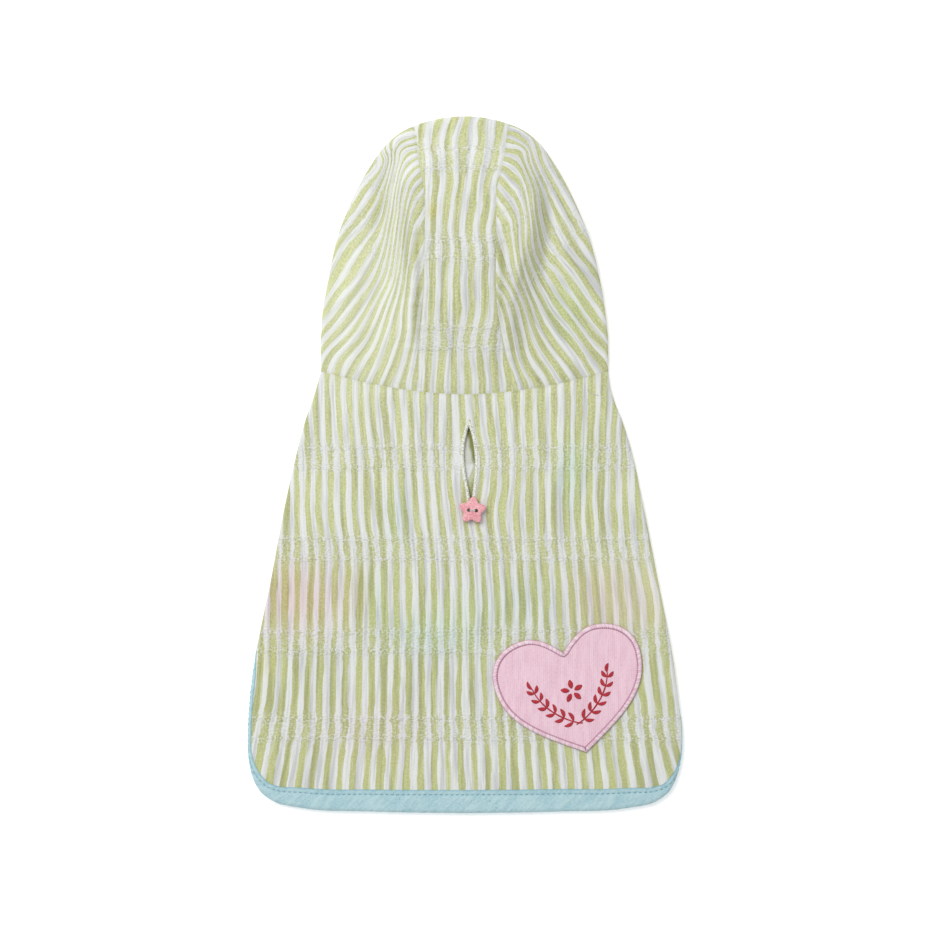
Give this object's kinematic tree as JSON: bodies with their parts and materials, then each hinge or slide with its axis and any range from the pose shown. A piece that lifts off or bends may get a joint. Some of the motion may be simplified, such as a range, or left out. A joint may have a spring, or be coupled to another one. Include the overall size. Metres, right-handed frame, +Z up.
{
  "type": "dog hooded vest",
  "caption": "Sleeveless pull-on vest for a small dog with an attached hood, laid flat: striped cloth, bias-bound hem, leash slit, star button and heart patch.",
  "frame": {"origin": "centre of the laid garment's bounding box, on the surface it lies on", "axes": "+Y from the tail hem to the hood, +X to the garment's right as seen from above, +Z up out of its back"},
  "size_m": [0.2082, 0.3346, 0.0189],
  "materials": {
    "striped_cloth": "soft matt cotton with fine puckers, green and white stripes",
    "bias_tape": "matt pale blue cotton tape, stitched",
    "rolled_edging": "off-white overlocked thread",
    "button": "pink plastic, satin shine",
    "heart_satin": "pink ribbed cloth with a satin-stitched border"
  },
  "bodies": {
    "root": {"back_panel": "striped_cloth", "belly_panel": "striped_cloth", "hood_centre_panel": "striped_cloth", "hood_side_left": "striped_cloth", "hood_side_right": "striped_cloth", "hem_binding": "bias_tape", "keyhole_edging": "rolled_edging", "star_button": "button", "heart_patch": "heart_satin"}
  },
  "joints": []
}
